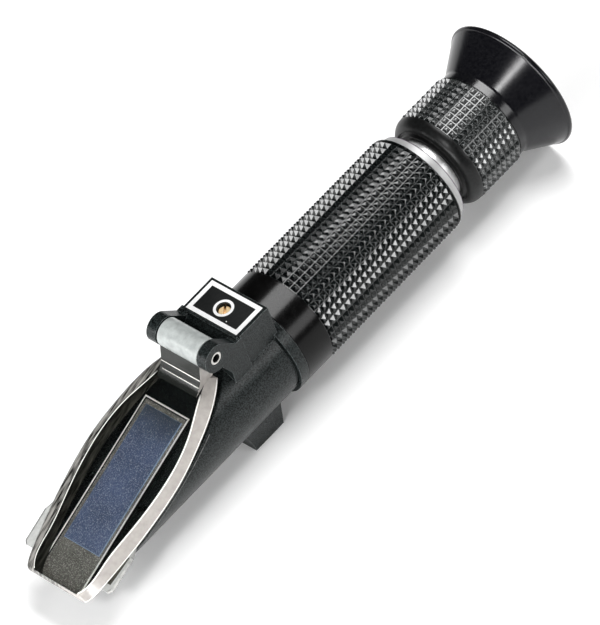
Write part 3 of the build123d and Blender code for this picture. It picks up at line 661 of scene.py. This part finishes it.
# Painted highlights: two light lines across the web in front of the plate's barrel.
web_near = -6.1
web_far = 6.1
web_lower_far = 5.4
upper_line = [over_axis(-23.65, y, 14.4) for y in (web_near, 0.0, web_far)]
lower_line = [over_axis(-24.68, y, 12.95) for y in (web_near, 0.0, web_lower_far)]
plate_line("web_highlight_upper", upper_line, 0.16, highlight_white)
plate_line("web_highlight_lower", lower_line, 0.13, highlight_white)


# ---------------------------------------------------------------- dark line on the rear edge of the end ring
line_station = 55.93
line_r = 12.18
line_half = 0.1
line_sides = 8
line_count = 120
line_loops = []
for corner in range(line_sides):
    angle = 2 * math.pi / line_sides * corner
    station = line_station + line_half * math.cos(angle)
    radius = line_r + line_half * math.sin(angle)
    line_loops.append([on_axis(station, radius, 2 * math.pi * k / line_count) for k in range(line_count)])
band("end_ring_line", line_loops, line_dark, "instrument")


# ---------------------------------------------------------------- label printing
label_low, label_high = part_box("calibration_label")
screw_low, screw_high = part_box("calibration_screw")
screw_x = (screw_low[0] + screw_high[0]) / 2
print_low = label_high[2]
print_high = print_low + 0.03 * MM


def printed(name, outer, inner):
    """Print on the label between an outer and an inner outline of (x, y) points."""
    section = ((outer, print_low), (outer, print_high), (inner, print_high), (inner, print_low))
    loops = [[Vector((x, y, z)) for x, y in outline] for outline, z in section]
    band(name, loops, label_white, "instrument")


def label_rectangle(inset):
    """Outline of the label, drawn in by an inset in millimetres."""
    low_x, low_y = label_low[0] + inset * MM, label_low[1] + inset * MM
    high_x, high_y = label_high[0] - inset * MM, label_high[1] - inset * MM
    return [(low_x, low_y), (high_x, low_y), (high_x, high_y), (low_x, high_y)]


def circle(center_x, center_y, radius, count=48):
    """Outline of a circle; the centre is in metres and the radius in millimetres."""
    angles = [2 * math.pi * k / count for k in range(count)]
    return [(center_x + radius * MM * math.cos(angle), center_y + radius * MM * math.sin(angle))
            for angle in angles]


border_outer = 0.03
border_inner = 1.2
printed("label_border", label_rectangle(border_outer), label_rectangle(border_inner))

ring_outer_r = 2.5
ring_inner_r = 1.78
printed("label_ring", circle(screw_x, 0, ring_outer_r), circle(screw_x, 0, ring_inner_r))

dot_x = screw_x - 2.6 * MM
dot_y = -3.25 * MM
dot_r = 0.17
dot_center_r = 0.02
dot_count = 16
printed("label_dot", circle(dot_x, dot_y, dot_r, dot_count), circle(dot_x, dot_y, dot_center_r, dot_count))

# ---------------------------------------------------------------- floor, lights, camera
floor_material, _, floor_shader = new_material("floor_pale", color=(0.95, 0.95, 0.95), rough=0.9)
floor_shader.inputs["Emission Color"].default_value = (1.0, 1.0, 1.0, 1.0)
floor_shader.inputs["Emission Strength"].default_value = 0.12
reach = 3
floor_corners = [(-reach, -reach, 0), (reach, -reach, 0), (reach, reach, 0), (-reach, reach, 0)]
floor = make_object("floor", floor_corners, [(0, 1, 2, 3)], floor_material)

world = bpy.data.worlds.new("studio")
bpy.context.scene.world = world
world.use_nodes = True
world.node_tree.nodes["Background"].inputs["Color"].default_value = (1.0, 1.0, 1.0, 1.0)
world.node_tree.nodes["Background"].inputs["Strength"].default_value = 0.03
bpy.context.scene.view_settings.view_transform = "Standard"
bpy.context.scene.view_settings.look = "Medium High Contrast"

# What the lights and the camera point at.
target = Vector((joint_x + 10.4 * MM, -1.86 * MM, axis_z))


def softbox(name, direction, width, height, power):
    """Rectangular light a metre from the instrument that faces it; sizes in metres, power in watts."""
    light = bpy.data.lights.new(name, "AREA")
    light.shape = "RECTANGLE"
    light.size = width
    light.size_y = height
    light.energy = power
    obj = bpy.data.objects.new(name, light)
    direction = Vector(direction).normalized()
    obj.location = target + direction
    obj.rotation_euler = direction.to_track_quat("Z", "Y").to_euler()
    bpy.context.scene.collection.objects.link(obj)


softbox("softbox_overhead", (0.38, 0.0, 0.92), width=0.7, height=0.32, power=7.0)
softbox("softbox_front", (-0.97, 0.0, 0.24), width=1.3, height=0.38, power=11.5)
softbox("softbox_side", (0.37, -0.85, 0.38), width=0.4, height=0.34, power=1.8)
softbox("softbox_streak", (-0.60, -0.29, 0.75), width=0.16, height=0.16, power=2.2)

azimuth = math.radians(-32.29)
elevation = math.radians(47.90)
roll = math.radians(20.75)
distance = 1.6827
toward_camera = Vector((math.sin(azimuth) * math.cos(elevation), -math.cos(azimuth) * math.cos(elevation),
                        math.sin(elevation)))
camera_data = bpy.data.cameras.new("camera")
camera_data.sensor_width = 36.0
camera_data.sensor_fit = "HORIZONTAL"
camera_data.lens = 442.06
camera = bpy.data.objects.new("camera", camera_data)
level_right = Vector((math.cos(azimuth), math.sin(azimuth), 0))
level_up = toward_camera.cross(level_right)
camera_right = level_right * math.cos(roll) - level_up * math.sin(roll)
camera_up = level_up * math.cos(roll) + level_right * math.sin(roll)
camera.matrix_world = Matrix((
    (camera_right.x, camera_up.x, toward_camera.x, 0), (camera_right.y, camera_up.y, toward_camera.y, 0),
    (camera_right.z, camera_up.z, toward_camera.z, 0), (0, 0, 0, 1)))
camera.location = target + toward_camera * distance
camera_data.clip_end = 10.0
bpy.context.scene.collection.objects.link(camera)
bpy.context.scene.camera = camera
